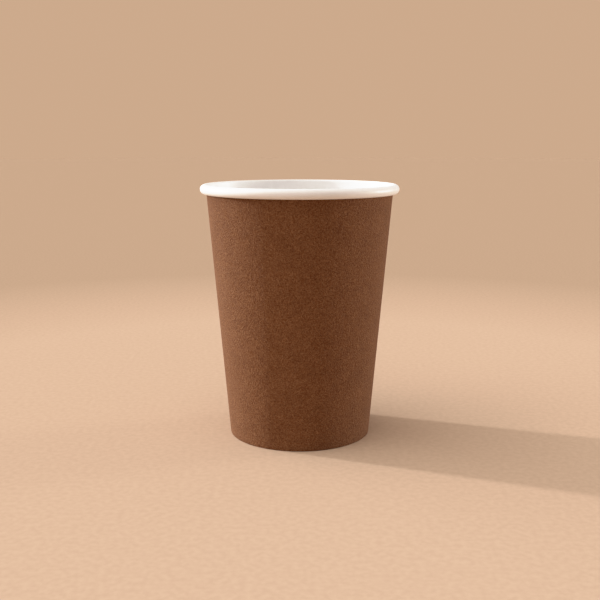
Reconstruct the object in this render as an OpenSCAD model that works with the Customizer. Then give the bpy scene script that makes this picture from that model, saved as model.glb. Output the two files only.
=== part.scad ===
// Paper coffee cup. One sheet of board is wrapped into a tapered wall with a lapped side seam,
// rolled outwards at the rim and folded inwards at the foot. The fold holds the turned-down
// edge of a round base. The floor is at Z = 0 and the cup's axis is Z.

/* [Cup] */
// Height from the floor to the top of the rim
cup_h = 115.5; // [95:0.5:140]
// Diameter over the rolled rim
rim_d = 90; // [80:0.5:100]
// Diameter of the foot
foot_d = 65; // [55:0.5:72]

/* [Board] */
// Thickness of the side wall's board
wall_t = 0.4; // [0.3:0.05:0.5]
// Thickness of the base's board
base_t = 0.35; // [0.25:0.05:0.5]

/* [Rolled rim] */
// Width of the roll, from the wall's inside face to the rim's edge
roll_w = 3; // [2.6:0.1:3.6]
// Height of the roll
roll_h = 4.3; // [3.8:0.1:5]
// Outside radius where the wall bends over at the mouth
crown_r = 0.85; // [0.7:0.05:1]
// Outside radius where the edge turns up against the wall, under the roll
under_r = 0.55; // [0.5:0.05:0.7]
// Gap between that turned-up edge and the wall
roll_gap = 0.05; // [0.03:0.01:0.1]
// Straight length of the turned-up edge inside the roll
tuck_h = 1.2; // [0.8:0.1:1.4]
// Outside radius of the last turn inside the roll
tuck_r = 0.7; // [0.6:0.05:0.8]

/* [Side seam] */
// Direction that the seam faces, in degrees from +X
seam_at = 165; // [0:15:345]
// Width of the overlap, at the rim
lap_w = 7; // [5:0.5:10]
// Width over which the outer layer climbs onto the inner one, at the rim
ramp_w = 7; // [6:0.5:9]
// Width of the line that the inner layer's edge leaves across the roll
line_w = 0.25; // [0.15:0.05:0.4]
// Depth of that line
line_d = 0.15; // [0.1:0.05:0.2]

/* [Hem and base] */
// Height of the flap that is folded up inside the foot
hem_h = 6.5; // [4:0.5:9]
// Inside radius of the fold
fold_in_r = 0.05; // [0.05:0.01:0.1]
// Height of the base's top face above the flap's edge
base_rise = 1.5; // [1.2:0.1:3]
// Outside radius of the bend at the base's edge
bend_r = 0.8; // [0.6:0.1:1]
// Thickness of the film that seals the base's skirt to the board on each side
seal_t = 0.03; // [0.02:0.01:0.05]
// Clearance under the skirt's cut edge
skirt_gap = 0.1; // [0.05:0.05:0.3]

/* [Hidden] */
$fn = 120;
brown_face = [0.44, 0.28, 0.17];
white_face = [0.93, 0.92, 0.9];

// Rounded to a micron, so that arcs and straight runs of board meet edge to edge
function micron(length) = round(length * 1000) / 1000;

// The wall ends at the lip, where the roll begins, and the edge turns up at the curl
rim_r = rim_d / 2;
lip_r = rim_r - roll_w + wall_t;
lip_z = cup_h - crown_r;
curl_z = cup_h - roll_h + under_r;

// Outside radius of the wall at a height
function wall_r(z) = micron(foot_d / 2 + (lip_r - foot_d / 2) * z / lip_z);

// The roll's outer side is two large arcs, as large as its height and width leave room for
crown_at = lip_r - wall_t + crown_r;
under_at = wall_r(curl_z) + roll_gap + under_r;
upper_r = micron(min(roll_h / 2, rim_r - crown_at));
lower_r = micron(min(roll_h / 2, rim_r - under_at));
upper_z = cup_h - upper_r;
lower_z = cup_h - roll_h + lower_r;

// The hem is the wall, the base's skirt between two films, and the flap
fold_r = wall_t + fold_in_r;
hem_t = 2 * wall_t + 2 * seal_t + base_t;
base_z = hem_h + base_rise;

// Where the outer layer climbs onto the inner one it follows a cone with a smaller radius,
// set off the cup's axis so that it meets the wall at ramp_angle and stands out by ramp_rise
lap_angle = micron(lap_w / lip_r * 180 / PI);
ramp_angle = ramp_w / lip_r * 180 / PI;
// How far the climbing layer stays below the lap's face, as a crease
crease = 0.02;
ramp_rise = wall_t - crease;
ramp_cut = (2 * lip_r * ramp_rise * cos(ramp_angle) - pow(ramp_rise, 2))
    / (2 * (lip_r * (1 - cos(ramp_angle)) + ramp_rise));
ramp_reach = 1.3 * ramp_w;
// How far a cutting shape runs past what it cuts
past = 1;

// A straight run of board beside the wall, between two distances from its outside face
module run(z_from, z_to, near, far)
    polygon([
        [wall_r(z_from) + near, z_from],
        [wall_r(z_from) + far, z_from],
        [wall_r(z_to) + far, z_to],
        [wall_r(z_to) + near, z_to]
    ]);

// A quarter turn of board about a centre, in the quadrant that side and up point to
module quarter_turn(centre, out_r, thickness, side, up)
    translate(centre)
        intersection() {
            difference() {
                circle(out_r);
                if (thickness < out_r)
                    circle(out_r - thickness);
            }
            translate([min(side, 0) * 2 * out_r, min(up, 0) * 2 * out_r])
                square(2 * out_r);
        }

// A straight piece of board, which may have no length
module straight(from, size)
    if (min(size) > 0)
        translate(from)
            square(size);

// The tapered wall and the hem folded up inside its foot
module wall_section() {
    run(fold_r, lip_z, -wall_t, 0);
    quarter_turn([wall_r(fold_r) - fold_r, fold_r], fold_r, wall_t, 1, -1);
    translate([wall_r(fold_r) - hem_t + fold_r, 0])
        square([hem_t - 2 * fold_r, wall_t]);
    quarter_turn([wall_r(fold_r) - hem_t + fold_r, fold_r], fold_r, wall_t, -1, -1);
    run(fold_r, hem_h, -hem_t, wall_t - hem_t);
}

// The outside of the roll to a depth: over the top, down the side and under
module roll_skin(depth, proud) {
    quarter_turn([crown_at, lip_z], crown_r + proud, depth + proud, -1, 1);
    straight([crown_at, cup_h - depth], [rim_r - upper_r - crown_at, depth + proud]);
    quarter_turn([rim_r - upper_r, upper_z], upper_r + proud, depth + proud, 1, 1);
    straight([rim_r - depth, lower_z], [depth + proud, upper_z - lower_z]);
    quarter_turn([rim_r - lower_r, lower_z], lower_r + proud, depth + proud, 1, -1);
}

// The whole roll: its outside, and the edge that turns up and over inside it
module roll_section() {
    roll_skin(wall_t, 0);
    straight([under_at, cup_h - roll_h], [rim_r - lower_r - under_at, wall_t]);
    quarter_turn([under_at, curl_z], under_r, wall_t, -1, -1);
    run(curl_z, curl_z + tuck_h, roll_gap, roll_gap + wall_t);
    quarter_turn([wall_r(curl_z + tuck_h) + roll_gap + tuck_r, curl_z + tuck_h], tuck_r, wall_t, -1, 1);
}

// The second layer's turn at the fold, round the outer or the inner face of the hem
module lap_turn(face_r, side) {
    quarter_turn([face_r - side * fold_in_r, fold_r], fold_r, fold_r, side, -1);
    translate([side > 0 ? face_r - fold_r : face_r + fold_in_r, 0])
        square(wall_t);
}

// The second layer at the seam, outside the wall, round the fold and on the flap
module lap_section() {
    run(fold_r, curl_z, -wall_t / 2, wall_t);
    run(fold_r, hem_h, -hem_t - wall_t, wall_t / 2 - hem_t);
    lap_turn(wall_r(fold_r), 1);
    lap_turn(wall_r(fold_r) - hem_t, -1);
}

module base_section() {
    skirt_r = wall_r(base_z - bend_r) - wall_t - seal_t;
    translate([0, base_z - base_t])
        square([skirt_r - bend_r, base_t]);
    quarter_turn([skirt_r - bend_r, base_z - bend_r], bend_r, base_t, 1, 1);
    run(wall_t + skirt_gap, base_z - bend_r, -wall_t - seal_t - base_t, -wall_t - seal_t);
}

// A cone set off the axis towards the seam, beside a face of the wall that lies inset from its outside
module ramp_cone(z_from, z_to, inset)
    translate([ramp_cut + ramp_rise, 0, z_from])
        cylinder(
            h = z_to - z_from,
            r1 = wall_r(z_from) - inset - ramp_cut,
            r2 = wall_r(z_to) - inset - ramp_cut
        );

// The outer layer, where it climbs onto the inner one
module seam_ramp()
    difference() {
        intersection() {
            ramp_cone(fold_r, curl_z, 0);
            translate([0, -ramp_reach, 0])
                cube([rim_d, ramp_reach + crease, cup_h]);
        }
        translate([0, 0, -past])
            cylinder(h = lip_z + past, r1 = wall_r(-past) - wall_t / 2, r2 = lip_r - wall_t / 2);
    }

// The hollow inside, beside the inner layer's cut edge
module seam_hollow()
    intersection() {
        ramp_cone(base_z, lip_z, wall_t);
        translate([0, -ramp_reach, 0])
            cube([rim_d, ramp_reach, cup_h]);
    }

// The line that the inner layer's cut edge leaves across the roll
module seam_line()
    rotate([90, 0, 0])
        linear_extrude(line_w)
            roll_skin(line_d, line_d);

// The wrapped sheet, brown outside and white inside, so that the roll shows its white face
module side_wall()
    rotate([0, 0, seam_at])
        difference() {
            union() {
                color(brown_face) {
                    rotate_extrude() wall_section();
                    rotate_extrude(angle = lap_angle) lap_section();
                    seam_ramp();
                }
                color(white_face)
                    rotate_extrude() roll_section();
            }
            seam_hollow();
            seam_line();
        }

// The base, a disc with its edge turned down between the wall and the flap
module base()
    color(white_face)
        rotate_extrude() base_section();

side_wall();
base();
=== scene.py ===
# %% [markdown]
# # A paper cup for hot drinks
#
# The real cup is two pieces of coated board. A fan-shaped sheet is wrapped into the tapered
# wall, lapped on itself in a side seam, rolled outwards at the rim and folded inwards at the
# foot. A round sheet with its edge turned down is the base, and the foot's fold clamps it.
#
# Both sheets are modelled here as sheets. The face that holds the drink is drawn first, as a
# section spun about the cup's axis, and then the sheet gets its thickness.

# %% Load the fixed frame
from math import cos, radians, sin, tau

import bpy
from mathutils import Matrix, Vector


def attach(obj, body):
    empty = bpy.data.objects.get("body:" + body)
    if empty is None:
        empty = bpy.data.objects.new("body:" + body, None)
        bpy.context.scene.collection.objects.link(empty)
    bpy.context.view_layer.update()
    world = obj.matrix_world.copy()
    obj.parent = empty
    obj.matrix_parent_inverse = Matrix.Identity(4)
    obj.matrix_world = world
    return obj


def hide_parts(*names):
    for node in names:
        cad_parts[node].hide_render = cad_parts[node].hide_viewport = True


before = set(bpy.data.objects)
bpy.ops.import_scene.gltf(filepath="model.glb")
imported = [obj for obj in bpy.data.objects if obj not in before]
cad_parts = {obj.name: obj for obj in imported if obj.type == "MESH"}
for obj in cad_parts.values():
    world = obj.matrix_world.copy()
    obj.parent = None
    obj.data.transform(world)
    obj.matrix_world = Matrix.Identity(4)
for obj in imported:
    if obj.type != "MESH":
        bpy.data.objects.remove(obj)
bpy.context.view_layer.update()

print("CAD nodes:", sorted(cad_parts))

# %% [markdown]
# ## Measures of the cup
#
# These are the CAD model's own values, in millimetres. Only the rim's radius and the roll's
# width are 0.03 mm less, so that the finer roll stays within the facets of the CAD's. A
# section is a list of pairs, a distance from the axis and a height, and becomes metres when
# it is drawn.

# %% Measures of the cup
MM = 0.001
HEIGHT = 115.5
RIM_R = 44.97
FOOT_R = 32.5
BOARD = 0.4
BASE_BOARD = 0.35

# The rolled rim
ROLL_WIDTH = 2.97
ROLL_HEIGHT = 4.3
CROWN_R = 0.85
UNDER_R = 0.55
TUCK_R = 0.7
TUCK_HEIGHT = 1.2
ROLL_GAP = 0.05

# The side seam: its direction in degrees, and its widths at the rim
SEAM_AT = 165.0
LAP_WIDTH = 7.0
RAMP_WIDTH = 7.0

# The hem and the base
HEM_HEIGHT = 6.5
FOLD_R = 0.05
SEAL = 0.03
BASE_TOP = 8.0
BEND_R = 0.8

LIP_R = RIM_R - ROLL_WIDTH + BOARD
LIP_Z = HEIGHT - CROWN_R
HEM_WIDTH = 2 * BOARD + 2 * SEAL + BASE_BOARD
LAP_ANGLE = LAP_WIDTH / LIP_R * 360 / tau
RAMP_ANGLE = RAMP_WIDTH / LIP_R * 360 / tau


def wall_radius(height):
    """Distance from the axis to the wall's brown face at a height."""
    return FOOT_R + (LIP_R - FOOT_R) * height / LIP_Z


print("hem is", round(HEM_WIDTH, 2), "mm thick, the lap turns", round(LAP_ANGLE, 2), "degrees")

# %% [markdown]
# ## Small helpers
#
# An operator acts on everything that is selected, so each step starts with nothing selected.
# A section is drawn the way it is by hand: one corner is set down, and the next ones are
# extruded from it one after another. It could also be a curve, but a chain of corners keeps
# each bend's rows where the bend is, and the rows matter once the sheet is shaped.


# %% Helpers for selecting
def deselect_everything():
    """Leaves edit mode, with no object selected."""
    if bpy.context.object and bpy.context.object.mode != "OBJECT":
        bpy.ops.object.mode_set(mode="OBJECT")
    bpy.ops.object.select_all(action="DESELECT")


def select_only(piece):
    """Makes one object the only selected one, and the one that operators act on."""
    deselect_everything()
    piece.select_set(True)
    bpy.context.view_layer.objects.active = piece


def settle(piece):
    """Puts the object at the origin, unturned and unscaled, with its place in its mesh."""
    select_only(piece)
    bpy.ops.object.transform_apply(location=True, rotation=True, scale=True)


# %% Helpers for drawing
def arc(centre, radius, start, end, steps):
    """Points along an arc, without its first one, for angles in degrees."""
    points = []
    for i in range(1, steps + 1):
        a = radians(start + (end - start) * i / steps)
        points.append((centre[0] + radius * cos(a), centre[1] + radius * sin(a)))
    return points


def draw_section(name, points, direction):
    """Draws a chain of edges through the points, in the upright plane that faces a direction."""
    turn = radians(direction)
    spots = [Vector((r * cos(turn), r * sin(turn), z)) * MM for r, z in points]
    deselect_everything()
    bpy.ops.mesh.primitive_plane_add(size=MM, location=spots[0])
    piece = bpy.context.object
    piece.name = piece.data.name = name
    bpy.ops.object.mode_set(mode="EDIT")
    bpy.ops.mesh.select_mode(type="VERT")
    bpy.ops.mesh.merge(type="CENTER")
    for before, after in zip(spots, spots[1:]):
        bpy.ops.mesh.extrude_vertices_move(
            MESH_OT_extrude_verts_indiv={"mirror": False},
            TRANSFORM_OT_translate={"value": after - before},
        )
    return piece


def spin_on(steps, angle):
    """Sweeps the selected edge chain on round the axis, and leaves its last copy selected."""
    bpy.ops.mesh.spin(
        steps=steps, angle=-angle, center=(0, 0, 0), axis=(0, 0, 1), dupli=False,
        use_auto_merge=False,
    )


# %% [markdown]
# ## The wall's section, three times
#
# All round the cup the sheet is a single layer, but at the seam it passes over itself. So its
# section is worked out in three states with the same number of rows: alone, under the second
# layer, and as the second layer. Under the second layer the fold is lifted by one board, so
# that the second layer's fold still stands on the floor, and the edge inside the roll makes
# room for a second wall. The second layer is one board further towards the brown side, and a
# hundredth of a millimetre of glue keeps the two from sharing a corner.
#
# The other way is to model one layer and thicken the lap afterwards. That is enough for a
# rigid stand-in, but then the cut edges, which show the board's raw core, wouldn't exist.

# %% Rows of the section
# In millimetres: between the layers, under the fold, and the roll's least flat underside
GLUE = 0.01
FLOOR_GAP = 0.002
LEAST_FLAT = 0.1

# Steps of each bend and straight, and the heights of the wall's rows
FLAP_ROWS = 6
FOLD_STEPS = 3
CROWN_STEPS = 8
SIDE_STEPS = 10
CURL_STEPS = 5
WALL_HEIGHTS = (
    1.6, 2.6, 3.8, 5.2, 6.8, 8.4, 10, 14, 20, 28, 36,
    44, 52, 60, 68, 76, 84, 92, 100, 106, 111, LIP_Z,
)
print("rows on the flap:", FLAP_ROWS + 1, "and on the wall:", len(WALL_HEIGHTS))


# %% The hem and the wall in section
def hem_and_wall(out, lift):
    """Down the flap, round the fold and up the wall, set outwards and with the fold lifted."""
    fold_z = BOARD + FOLD_R + lift + FLOOR_GAP
    flap_in = HEM_WIDTH - BOARD + out
    points = []
    for i in range(FLAP_ROWS + 1):
        z = HEM_HEIGHT + (fold_z - HEM_HEIGHT) * i / FLAP_ROWS
        points.append((wall_radius(z) - flap_in, z))
    inner = (points[-1][0] + FOLD_R, fold_z)
    outer = (wall_radius(fold_z) - BOARD + out - FOLD_R, fold_z)
    points += arc(inner, FOLD_R, 180, 270, FOLD_STEPS)
    points.append((outer[0], fold_z - FOLD_R))
    points += arc(outer, FOLD_R, 270, 360, FOLD_STEPS)
    for z in WALL_HEIGHTS:
        points.append((wall_radius(z) - BOARD + out, z))
    return points


# %% The roll in section
def roll(out, room):
    """Over the crown, down the side, back under to the wall, up beside it and over inside.

    The first number moves it into the roll, and the second leaves room beside the wall.
    """
    crown_at = RIM_R - ROLL_WIDTH + CROWN_R
    under_at = wall_radius(HEIGHT - ROLL_HEIGHT + UNDER_R) + ROLL_GAP + UNDER_R + room
    big = min(ROLL_HEIGHT / 2, RIM_R - crown_at)
    low = min(ROLL_HEIGHT / 2, RIM_R - max(under_at + LEAST_FLAT, crown_at))
    bottom = HEIGHT - ROLL_HEIGHT + out
    points = arc((crown_at, LIP_Z), CROWN_R - out, 180, 90, CROWN_STEPS)
    points += arc((RIM_R - big, HEIGHT - big), big - out, 90, 0, SIDE_STEPS)
    points += arc((RIM_R - low, bottom - out + low), low - out, 0, -90, SIDE_STEPS)
    points.append((under_at, bottom))
    points += arc((under_at, bottom + UNDER_R), UNDER_R, 270, 180, CURL_STEPS)
    top = HEIGHT - ROLL_HEIGHT + UNDER_R + TUCK_HEIGHT
    side = wall_radius(top) + ROLL_GAP + room
    points.append((side, top))
    points += arc((side + TUCK_R, top), TUCK_R, 180, 90, CURL_STEPS)
    return points


# %% The three sections of the wrapped sheet
alone = hem_and_wall(0.0, 0.0) + roll(0.0, 0.0)
under = hem_and_wall(0.0, BOARD + GLUE) + roll(0.0, BOARD + GLUE)
over = hem_and_wall(BOARD + GLUE, 0.0) + roll(BOARD + GLUE, BOARD + 2 * GLUE)

ROWS = len(alone)
FIRST_ROLL_ROW = len(hem_and_wall(0.0, 0.0))
CLIP_ROW = FIRST_ROLL_ROW + CROWN_STEPS + 2 * SIDE_STEPS
print("rows in each section:", ROWS, len(under), len(over))
print("of them, the roll has", ROWS - FIRST_ROLL_ROW)

# %% [markdown]
# ## Wrapping the sheet
#
# The section alone is spun once round the axis, in finer steps over the last 7 mm, and then
# on by the width of the lap. Spin is used because a cup wall is the same all the way round,
# and it keeps each row of the section as a ring.

# %% Wrap the sheet round the axis
PLAIN_STEPS = 292
RAMP_STEPS = 16
LAP_STEPS = 8
TURN_STEPS = PLAIN_STEPS + RAMP_STEPS

wall = draw_section("cup_wall", alone, SEAM_AT)
bpy.ops.mesh.select_all(action="SELECT")
spin_on(PLAIN_STEPS, tau - radians(RAMP_ANGLE))
spin_on(RAMP_STEPS, radians(RAMP_ANGLE))
spin_on(LAP_STEPS, radians(LAP_ANGLE))
settle(wall)
print("sheet has", len(wall.data.vertices), "corners,", len(wall.data.polygons), "faces")

# %% [markdown]
# ## The lap
#
# Now the sheet passes through itself at the seam. Its corners are numbered section by
# section, so each one's row and turn can be found, and it moves from the plain section to
# the one that belongs at that turn. The last 7 mm before the seam climb onto the first layer.
# On the roll the climb is shorter, because the curled board there is stiff. The first layer's
# fold comes back down to the floor just past the lap.
#
# Proportional editing could make the climb by hand. It isn't used because the fold, the wall
# and the roll must each move another way, and the layers must not touch by accident.

# %% How far round each row climbs and settles
# Angles are in degrees round the axis, and the height is in millimetres
ROLL_CLIMB = 1.8
CLIMB_SHORTENS_AT = 85
SETTLE_FROM = 1
SETTLE_ANGLE = 7.0


def ease(x):
    """Goes from 0 to 1 without a kink at either end."""
    x = min(max(x, 0.0), 1.0)
    return x * x * (3 - 2 * x)


def turned(column):
    """Degrees round the cup from the sheet's first cut edge to a column of its corners."""
    if column <= PLAIN_STEPS:
        return (360 - RAMP_ANGLE) * column / PLAIN_STEPS
    if column <= TURN_STEPS:
        return 360 - RAMP_ANGLE * (TURN_STEPS - column) / RAMP_STEPS
    return 360 + LAP_ANGLE * (column - TURN_STEPS) / LAP_STEPS


def climb_angle(row):
    """How far before the seam a row leaves its place: far on the wall, just before it on the roll."""
    high = 1.0
    if row < FIRST_ROLL_ROW:
        high = ease((alone[row][1] - CLIMB_SHORTENS_AT) / (LIP_Z - CLIMB_SHORTENS_AT))
    return RAMP_ANGLE + (ROLL_CLIMB - RAMP_ANGLE) * high


print("the wall climbs over", round(climb_angle(0), 2), "degrees, the roll over", ROLL_CLIMB)


# %% Find each corner's row
def nearest_row(corner):
    """The row of the plain section that a corner belongs to, by its place."""
    spot = Vector((corner.co.xy.length, corner.co.z)) / MM
    return min(range(ROWS), key=lambda row: (Vector(alone[row]) - spot).length)


row_order = [nearest_row(corner) for corner in wall.data.vertices[:ROWS]]
print("each row found once:", sorted(row_order) == list(range(ROWS)))


def column_and_row(index):
    """Every copy of the section has the same order of corners as the first one."""
    return index // ROWS, row_order[index % ROWS]


# %% Shape the lap
for vertex in wall.data.vertices:
    column, row = column_and_row(vertex.index)
    turn = turned(column)
    below = 1 - ease((turn - LAP_ANGLE - SETTLE_FROM) / SETTLE_ANGLE)
    above = ease((turn - 360) / climb_angle(row) + 1)
    plain, low, high = Vector(alone[row]), Vector(under[row]), Vector(over[row])
    r, z = plain + (low - plain) * below + (high - plain) * above
    a = radians(SEAM_AT + turn)
    vertex.co = Vector((r * cos(a), r * sin(a), z)) * MM
print("first and last corner, in mm:", [
    [round(x / MM, 2) for x in wall.data.vertices[i].co] for i in (0, -1)
])

# %% [markdown]
# The second layer would need a fifth and a sixth thickness inside the roll. Makers clip that
# corner of the sheet, so the faces of the second layer past the roll's underside go.

# %% Clip the corner of the second layer
select_only(wall)
bpy.ops.object.mode_set(mode="EDIT")
bpy.ops.mesh.select_mode(type="FACE")
bpy.ops.mesh.select_all(action="DESELECT")
bpy.ops.object.mode_set(mode="OBJECT")
for face in wall.data.polygons:
    spots = [column_and_row(v) for v in face.vertices]
    face.select = min(c for c, r in spots) >= TURN_STEPS and min(r for c, r in spots) >= CLIP_ROW
clipped = sum(face.select for face in wall.data.polygons)
bpy.ops.object.mode_set(mode="EDIT")
bpy.ops.mesh.delete(type="FACE")
print("clipped", clipped, "faces")

# %% [markdown]
# ## Thickness
#
# The normals are made to agree while the sheet is still a single skin, and turned to its white
# side. Solidify then adds the brown side behind it. Its rim gets the third material, because a
# cut edge shows the board's raw core. Solidify works out each corner from the faces beside it,
# and loses its way on faces a twentieth of a millimetre wide when they are given in metres, so
# the sheet is thickened at a thousand times its size. Bends of less than 40 degrees between
# two faces are shaded smooth, and the cut edges stay sharp.


# %% Helpers for turning normals and adding thickness
SMOOTH_BELOW = 40


def face_the_axis(piece, low, high):
    """Makes the normals agree, with the faces between two heights turned to the axis."""
    bpy.ops.mesh.select_all(action="SELECT")
    bpy.ops.mesh.normals_make_consistent(inside=False)
    bpy.ops.object.mode_set(mode="OBJECT")
    faces = [f for f in piece.data.polygons if low * MM < f.center.z < high * MM]
    outward = sum(f.normal.x * f.center.x + f.normal.y * f.center.y > 0 for f in faces)
    if outward > len(faces) / 2:
        bpy.ops.object.mode_set(mode="EDIT")
        bpy.ops.mesh.flip_normals()
        bpy.ops.object.mode_set(mode="OBJECT")
    print(piece.name, ":", outward, "of", len(faces), "faces looked outwards before")


def resize(piece, factor):
    """Scales the mesh about the origin."""
    select_only(piece)
    bpy.ops.transform.resize(value=(factor,) * 3, center_override=(0, 0, 0))
    bpy.ops.object.transform_apply(location=True, rotation=True, scale=True)


def thicken(piece, thickness):
    """Gives a sheet its board behind the drawn face, with its own materials there and at cut edges."""
    resize(piece, 1 / MM)
    solid = piece.modifiers.new("board", "SOLIDIFY")
    solid.thickness = thickness
    solid.offset = -1
    solid.use_even_offset = True
    solid.material_offset = 1
    solid.material_offset_rim = 2
    bpy.ops.object.modifier_apply(modifier=solid.name)
    resize(piece, MM)
    bpy.ops.object.shade_smooth_by_angle(angle=radians(SMOOTH_BELOW))


face_the_axis(wall, low=20, high=100)

# %% [markdown]
# ## The base
#
# The base is a round sheet with its edge turned down. Its skirt stands between the wall and
# the flap, and its middle bulges up by a quarter of a millimetre, as it does when the edge is
# drawn down over a plug. A flat disc would catch the light as a mirror does.
#
# A circle could be filled, inset and extruded, but a spun section gives the bend its own rows
# and puts the skirt exactly on the wall's taper. The spin ends where it began, so its first
# and last copies are merged before the normals are made to agree.

# %% The base in section
BULGE = 0.25
DISC_SHARES = (0, 0.04, 0.12, 0.2, 0.3, 0.4, 0.5, 0.6, 0.7, 0.8, 0.88, 0.94, 1)
BEND_STEPS = 7
SKIRT_HEIGHTS = (5.5, 4, 2.5, 1.0)

skirt_r = wall_radius(BASE_TOP - BEND_R) - BOARD - SEAL
flat_r = skirt_r - BEND_R
base_points = [(flat_r * share, BASE_TOP + BULGE * (1 - ease(share))) for share in DISC_SHARES]
base_points += arc((flat_r, BASE_TOP - BEND_R), BEND_R, 90, 0, BEND_STEPS)
base_points += [(wall_radius(z) - BOARD - SEAL, z) for z in SKIRT_HEIGHTS]
print("base is", round(2 * skirt_r, 2), "mm across its bend, with", len(base_points), "rows")

# %% Draw and spin the base
BASE_STEPS = 240
SAME_PLACE = 0.001

base = draw_section("cup_base", base_points, SEAM_AT)
bpy.ops.mesh.select_all(action="SELECT")
spin_on(BASE_STEPS, tau)
bpy.ops.mesh.select_all(action="SELECT")
bpy.ops.mesh.remove_doubles(threshold=SAME_PLACE * MM)
bpy.ops.mesh.normals_make_consistent(inside=False)
settle(base)
top_face = min(base.data.polygons, key=lambda f: f.center.x ** 2 + f.center.y ** 2)
if top_face.normal.z < 0:
    bpy.ops.object.mode_set(mode="EDIT")
    bpy.ops.mesh.select_all(action="SELECT")
    bpy.ops.mesh.flip_normals()
    bpy.ops.object.mode_set(mode="OBJECT")
print("base top looks", "up" if top_face.normal.z > 0 else "down")

# %% [markdown]
# ## Board finishes
#
# Four finishes: dyed brown board, white board with a thin waterproof coating, the plain board
# under the base, and the raw core at the cut edges. All are made from noise on object
# coordinates, in metres, so a scale of 1000 means a detail of about a millimetre. An image
# would need the sheets laid out flat, and wouldn't hold up close to.
#
# Noise seldom leaves the range from 0.3 to 0.7, so that is where most of the colours below
# are put.


# %% Helpers for materials
def new_finish(name, roughness, specular):
    """A material with its shader, and the coordinates that its patterns follow."""
    finish = bpy.data.materials.new(name)
    finish.use_nodes = True
    shader = finish.node_tree.nodes["Principled BSDF"]
    shader.inputs["Roughness"].default_value = roughness
    shader.inputs["Specular IOR Level"].default_value = specular
    where = finish.node_tree.nodes.new("ShaderNodeTexCoord")
    where.name = "where"
    return finish, shader


def feed(finish, output, shader, socket):
    """Leads an output to one of the shader's sockets."""
    finish.node_tree.links.new(output, shader.inputs[socket])


def noise(finish, scale, detail, distortion=0.0, stretch=(1, 1, 1)):
    """Noise on object coordinates, finer for a larger scale."""
    tree = finish.node_tree
    place = tree.nodes.new("ShaderNodeMapping")
    place.inputs["Scale"].default_value = stretch
    tree.links.new(tree.nodes["where"].outputs["Object"], place.inputs["Vector"])
    made = tree.nodes.new("ShaderNodeTexNoise")
    made.inputs["Scale"].default_value = scale
    made.inputs["Detail"].default_value = detail
    made.inputs["Distortion"].default_value = distortion
    tree.links.new(place.outputs["Vector"], made.inputs["Vector"])
    return made.outputs["Fac"]


# %% Helpers for colour and roughness
def two_tones(finish, value, first, second, low=0.3, high=0.7):
    """Turns a value into a colour: the first up to the low end, the second from the high end."""
    tree = finish.node_tree
    made = tree.nodes.new("ShaderNodeValToRGB")
    start, end = made.color_ramp.elements
    start.position = low
    start.color = (*first, 1)
    end.position = high
    end.color = (*second, 1)
    tree.links.new(value, made.inputs["Fac"])
    return made.outputs["Color"]


def multiply(finish, first, second):
    """Multiplies two colours."""
    tree = finish.node_tree
    made = tree.nodes.new("ShaderNodeMix")
    made.data_type = "RGBA"
    made.blend_type = "MULTIPLY"
    made.inputs["Factor"].default_value = 1.0
    tree.links.new(first, made.inputs["A"])
    tree.links.new(second, made.inputs["B"])
    return made.outputs["Result"]


def rescale(finish, value, to_low, to_high, low=0.3, high=0.7):
    """Maps a value from one range to another."""
    tree = finish.node_tree
    made = tree.nodes.new("ShaderNodeMapRange")
    made.inputs["From Min"].default_value = low
    made.inputs["From Max"].default_value = high
    made.inputs["To Min"].default_value = to_low
    made.inputs["To Max"].default_value = to_high
    tree.links.new(value, made.inputs["Value"])
    return made.outputs["Result"]


# %% Helper for relief
def relief(finish, shader, layers):
    """Bumps, one over another, from pairs of a height output and a depth in millimetres."""
    tree = finish.node_tree
    last = None
    for height, depth in layers:
        made = tree.nodes.new("ShaderNodeBump")
        made.inputs["Distance"].default_value = depth * MM
        tree.links.new(height, made.inputs["Height"])
        if last:
            tree.links.new(last, made.inputs["Normal"])
        last = made.outputs["Normal"]
    tree.links.new(last, shader.inputs["Normal"])


# %% [markdown]
# ### Brown board
#
# The outside is dyed, uncoated paper. Its fibres are about half a millimetre long and stand
# up a little, so the light from the side picks them out as a fine grain. They gather in
# clumps of two millimetres, and the dye is uneven over patches of a centimetre. So the colour
# gets three noises, and the relief the two finer ones. A light fibre is paler as well as
# brighter, because less dye has soaked into it: its blue rises most and its red least. The
# weak sheen is the fluff that shows at the cup's edges.

# %% Brown board
DARK_DYE = (0.157, 0.0602, 0.0213)
LIGHT_DYE = (0.18, 0.0748, 0.0292)
DARK_PATCH = (0.945, 0.925, 0.9)
LIGHT_PATCH = (1.045, 1.065, 1.09)
DARK_FIBRE = (0.72, 0.52, 0.25)
LIGHT_FIBRE = (1.38, 1.58, 1.85)

brown_board, shader = new_finish("brown_board", roughness=0.85, specular=0.14)
patches = noise(brown_board, scale=110, detail=2)
clumps = noise(brown_board, scale=520, detail=1, distortion=0.8)
fibres = noise(brown_board, scale=1850, detail=1, distortion=0.5)
dye = two_tones(brown_board, clumps, DARK_DYE, LIGHT_DYE)
dye = multiply(brown_board, dye, two_tones(brown_board, patches, DARK_PATCH, LIGHT_PATCH))
dye = multiply(brown_board, dye, two_tones(brown_board, fibres, DARK_FIBRE, LIGHT_FIBRE))
feed(brown_board, dye, shader, "Base Color")
feed(brown_board, rescale(brown_board, clumps, to_low=0.78, to_high=0.92), shader, "Roughness")
relief(brown_board, shader, [(clumps, 0.06), (fibres, 0.5)])
shader.inputs["Sheen Weight"].default_value = 0.09
shader.inputs["Sheen Roughness"].default_value = 0.5
shader.inputs["Sheen Tint"].default_value = (1.0, 0.78, 0.58, 1)
print("brown board:", len(brown_board.node_tree.nodes), "nodes")

# %% [markdown]
# ### Coated white board
#
# The inside and the roll are white board under a thin waterproof film. It shines softly, and
# the fibres below it print through as a shallow orange peel. A clear coat over matt board
# would be another way, but the film is so thin that one layer shows the same, with a gloss
# that varies a little and a relief of a fiftieth of a millimetre.

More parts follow.
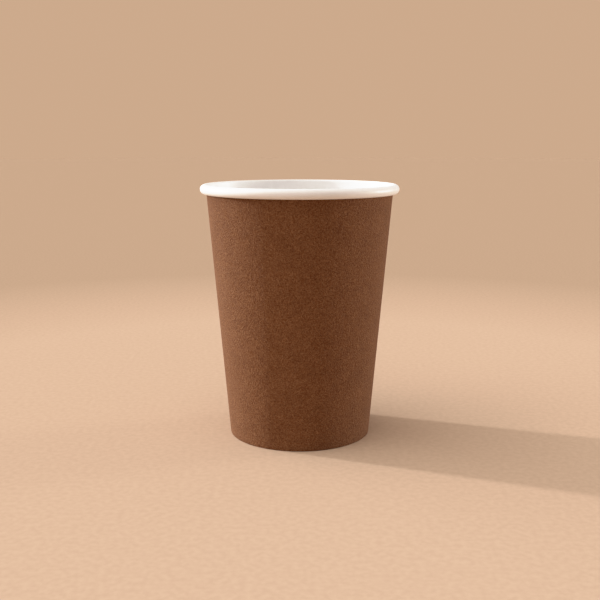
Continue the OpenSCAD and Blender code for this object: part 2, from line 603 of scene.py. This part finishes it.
# %% Coated white board
SHADED_FILM = (0.885, 0.875, 0.855)
CLEAR_FILM = (0.92, 0.912, 0.895)

white_board, shader = new_finish("white_board", roughness=0.42, specular=0.5)
peel = noise(white_board, scale=450, detail=3)
grain = noise(white_board, scale=1800, detail=2, distortion=0.8)
feed(white_board, two_tones(white_board, peel, SHADED_FILM, CLEAR_FILM), shader, "Base Color")
feed(white_board, rescale(white_board, grain, to_low=0.36, to_high=0.5), shader, "Roughness")
relief(white_board, shader, [(peel, 0.02), (grain, 0.004)])
print("white board:", len(white_board.node_tree.nodes), "nodes")

# %% [markdown]
# ### Plain board and raw edges
#
# The base's underside has no film, so it is duller and its fibres show as darker specks. A
# cut edge is the board's layers seen end on: cream, rough and finely streaked. The streaks
# run up the seam's edge, so their noise is drawn out along the height. Modelling the layers
# one by one would cost many thin sheets for an edge that is only 0.4 mm wide.

# %% Plain board
DULL_PULP = (0.66, 0.63, 0.58)
PALE_PULP = (0.75, 0.73, 0.69)
SPECK = (0.88, 0.86, 0.83)
NO_SPECK = (1.0, 1.0, 1.0)

plain_board, shader = new_finish("plain_board", roughness=0.9, specular=0.3)
clouds = noise(plain_board, scale=180, detail=4)
lint = noise(plain_board, scale=1500, detail=3, distortion=1.5)
pulp = two_tones(plain_board, clouds, DULL_PULP, PALE_PULP)
specks = two_tones(plain_board, lint, SPECK, NO_SPECK, low=0.25, high=0.6)
feed(plain_board, multiply(plain_board, pulp, specks), shader, "Base Color")
relief(plain_board, shader, [(lint, 0.04)])
print("plain board:", len(plain_board.node_tree.nodes), "nodes")

# %% Raw edges
DARK_CORE = (0.5, 0.4, 0.31)
PALE_CORE = (0.78, 0.72, 0.62)

raw_edge, shader = new_finish("raw_edge", roughness=0.95, specular=0.2)
streaks = noise(raw_edge, scale=3000, detail=3, stretch=(1, 1, 0.15))
feed(raw_edge, two_tones(raw_edge, streaks, DARK_CORE, PALE_CORE), shader, "Base Color")
relief(raw_edge, shader, [(streaks, 0.04)])
print("raw edge:", len(raw_edge.node_tree.nodes), "nodes")

# %% [markdown]
# ## Dressing the sheets
#
# The finishes go on before the thickness. The drawn face keeps the first one, and Solidify
# gives the second to the other side and the third to the cut edges. Painting the sides face
# by face afterwards would need each face looked up by its place.

# %% Dress the two sheets and give them their thickness
for finish in (white_board, brown_board, raw_edge):
    wall.data.materials.append(finish)
for finish in (white_board, plain_board, raw_edge):
    base.data.materials.append(finish)
thicken(wall, BOARD)
thicken(base, BASE_BOARD)
for piece in (wall, base):
    triangles = sum(len(f.vertices) - 2 for f in piece.data.polygons)
    print(piece.name, [round(1000 * d, 2) for d in piece.dimensions], "mm,", triangles, "triangles")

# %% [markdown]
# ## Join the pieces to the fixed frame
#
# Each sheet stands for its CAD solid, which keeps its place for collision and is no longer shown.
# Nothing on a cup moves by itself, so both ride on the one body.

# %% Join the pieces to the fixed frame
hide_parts("side_wall")
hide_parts("base")
for piece in (wall, base):
    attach(piece, "root")
print("two sheets ride on the root body")

# %% [markdown]
# ## Floor
#
# The cup stands on a plain pale floor, whose warm colour also lights the cup from below. Past a
# quarter of a metre a painted shade makes the floor a little darker, as a lamp's pool of light falls
# off, and it then stays so, up to its edge. It has no gloss at all, so its far part has one tone from
# every side, and the backdrop takes that same tone. So there is no horizon. A curved studio sweep does
# the same, but only from the front.

# %% Floor
FLOOR_RADIUS = 6
FLOOR_DARK = (0.509, 0.366, 0.2585)
FLOOR_LIGHT = (0.5475, 0.3955, 0.28)
PAINTED_SHADE_FROM = 0.26
PAINTED_SHADE_TO = 0.5
# Painted light: near the cup the floor keeps its colour as a painted pool of light, and its far part
# gets a painted shade.
PAINTED_POOL_NEAR = (1.0, 1.0, 1.0)
PAINTED_SHADE_FAR = (0.78, 0.76, 0.73)

deselect_everything()
bpy.ops.mesh.primitive_circle_add(
    vertices=96, radius=FLOOR_RADIUS, fill_type="NGON", location=(0, 0, 0)
)
floor = bpy.context.object
floor.name = "floor"
floor_finish, shader = new_finish("pale_floor", roughness=0.9, specular=0.0)
mottled = noise(floor_finish, scale=420, detail=3)
tone = two_tones(floor_finish, mottled, FLOOR_DARK, FLOOR_LIGHT, low=0.35, high=0.65)
nodes = floor_finish.node_tree.nodes
how_far = nodes.new("ShaderNodeVectorMath")
how_far.operation = "LENGTH"
floor_finish.node_tree.links.new(nodes["where"].outputs["Object"], how_far.inputs[0])
# Painted shade that grows with the distance from the axis between the two distances above, as a pool
# of light falls off.
painted_falloff = rescale(floor_finish, how_far.outputs["Value"], 0.0, 1.0, low=PAINTED_SHADE_FROM, high=PAINTED_SHADE_TO)
painted_falloff = two_tones(floor_finish, painted_falloff, PAINTED_POOL_NEAR, PAINTED_SHADE_FAR, low=0.0, high=1.0)
feed(floor_finish, multiply(floor_finish, tone, painted_falloff), shader, "Base Color")
floor.data.materials.append(floor_finish)
print("floor:", 2 * FLOOR_RADIUS, "m across")

# %% [markdown]
# ## Light
#
# A low lamp behind the left side lights the left edge and casts the long shadow. Alone it
# would end in a line down the wall, so a wide lamp beside it carries on past that line. A
# lamp from the left front and a weak sky light the floor and the top of the roll. A low one
# from the right lifts the right edge, so the middle of the wall is the darkest part. The rest
# of the room gives an even warm light.
#
# Sun lamps are used because their light is as strong at the foot as at the rim. Area lamps
# close to the cup would fall off along the wall.


# %% Lamps
def far_lamp(name, round_from_front, height, spread, strength, colour):
    """Even light from far away. Its direction, height and spread are in degrees."""
    turn = radians(round_from_front)
    rise = radians(height)
    towards = Vector((sin(turn) * cos(rise), -cos(turn) * cos(rise), sin(rise)))
    deselect_everything()
    bpy.ops.object.light_add(type="SUN", location=towards)
    lamp = bpy.context.object
    lamp.name = name
    lamp.data.angle = radians(spread)
    lamp.data.energy = strength
    lamp.data.color = colour
    lamp.rotation_euler = (-towards).to_track_quat("-Z", "Y").to_euler()
    print(name, "is", round_from_front, "degrees round from the front and", height, "up")


COOL = (0.97, 0.98, 1.0)
WARM_TOP = (1.0, 0.96, 0.9)
WARM_SKY = (1.0, 0.95, 0.88)
WARM_FILL = (1.0, 0.98, 0.93)

far_lamp("key_lamp", round_from_front=-111, height=15, spread=3, strength=3.2, colour=COOL)
far_lamp("side_lamp", round_from_front=-100, height=20, spread=80, strength=2.0, colour=COOL)
far_lamp("top_lamp", round_from_front=-50, height=68, spread=60, strength=1.4, colour=WARM_TOP)
far_lamp("sky_lamp", round_from_front=0, height=90, spread=120, strength=0.4, colour=WARM_SKY)
far_lamp("fill_lamp", round_from_front=108, height=5, spread=14, strength=1.95, colour=WARM_FILL)

# %% Room light and backdrop
ROOM_COLOUR = (1.0, 0.84, 0.79, 1)
ROOM_STRENGTH = 0.39
BACKDROP = (0.609, 0.403, 0.264, 1)

world = bpy.data.worlds.new("pale_room")
world.use_nodes = True
tree = world.node_tree
room = tree.nodes["Background"]
room.inputs["Color"].default_value = ROOM_COLOUR
room.inputs["Strength"].default_value = ROOM_STRENGTH
backdrop = tree.nodes.new("ShaderNodeBackground")
backdrop.inputs["Color"].default_value = BACKDROP
chooser = tree.nodes.new("ShaderNodeMixShader")
rays = tree.nodes.new("ShaderNodeLightPath")
tree.links.new(rays.outputs["Is Camera Ray"], chooser.inputs["Fac"])
tree.links.new(room.outputs["Background"], chooser.inputs[1])
tree.links.new(backdrop.outputs["Background"], chooser.inputs[2])
tree.links.new(chooser.outputs["Shader"], tree.nodes["World Output"].inputs["Surface"])
bpy.context.scene.world = world
print("room light:", ROOM_STRENGTH)

# %% [markdown]
# ## Tones
#
# The white roll in the low lamp's light is brighter than a picture can show. Cut off at
# white it would lose its roundness, so the brightest tones are bent, as a camera bends them.
# The curve is straight up to 0.8, so the brown board keeps its colours. A ready look such as
# Filmic would change those too.

# %% Bend the brightest tones
BRIGHTEST = 2.2
STRAIGHT = [(tone_in, tone_in) for tone_in in (0.2, 0.4, 0.6, 0.8)]
BENT = [(1.0, 0.92), (1.35, 0.975)]

view = bpy.context.scene.view_settings
view.view_transform = "Standard"
view.use_curve_mapping = True
tones = view.curve_mapping
tones.white_level = (BRIGHTEST,) * 3
for light_in, light_out in STRAIGHT + BENT:
    tones.curves[3].points.new(light_in / BRIGHTEST, light_out)
tones.update()
print("tone curve:", len(tones.curves[3].points), "points")

# %% [markdown]
# ## Camera
#
# The camera's place, tilt and lens come from the cup's outlines in the photo: with the rim
# 90 mm across, only this view gives both its ellipses and its tapered sides.

# %% Camera
CAMERA_AT = (0.00014, -0.40916, 0.13586)
CAMERA_LOOKS_DOWN = 10.23
LENS = 53.81
SENSOR_WIDTH = 36

deselect_everything()
bpy.ops.object.camera_add(
    location=CAMERA_AT, rotation=(radians(90 - CAMERA_LOOKS_DOWN), 0, 0)
)
camera = bpy.context.object
camera.data.lens = LENS
camera.data.sensor_width = SENSOR_WIDTH
bpy.context.scene.camera = camera
print("camera is", round(1000 * camera.location.length), "mm from the cup's foot")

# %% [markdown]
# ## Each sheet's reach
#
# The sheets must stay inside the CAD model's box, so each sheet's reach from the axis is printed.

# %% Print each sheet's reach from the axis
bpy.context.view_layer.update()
for piece in (wall, base):
    reach = max((v.co.x ** 2 + v.co.y ** 2) ** 0.5 for v in piece.data.vertices)
    print(piece.name, "reaches", round(1000 * reach, 3), "mm from the axis")
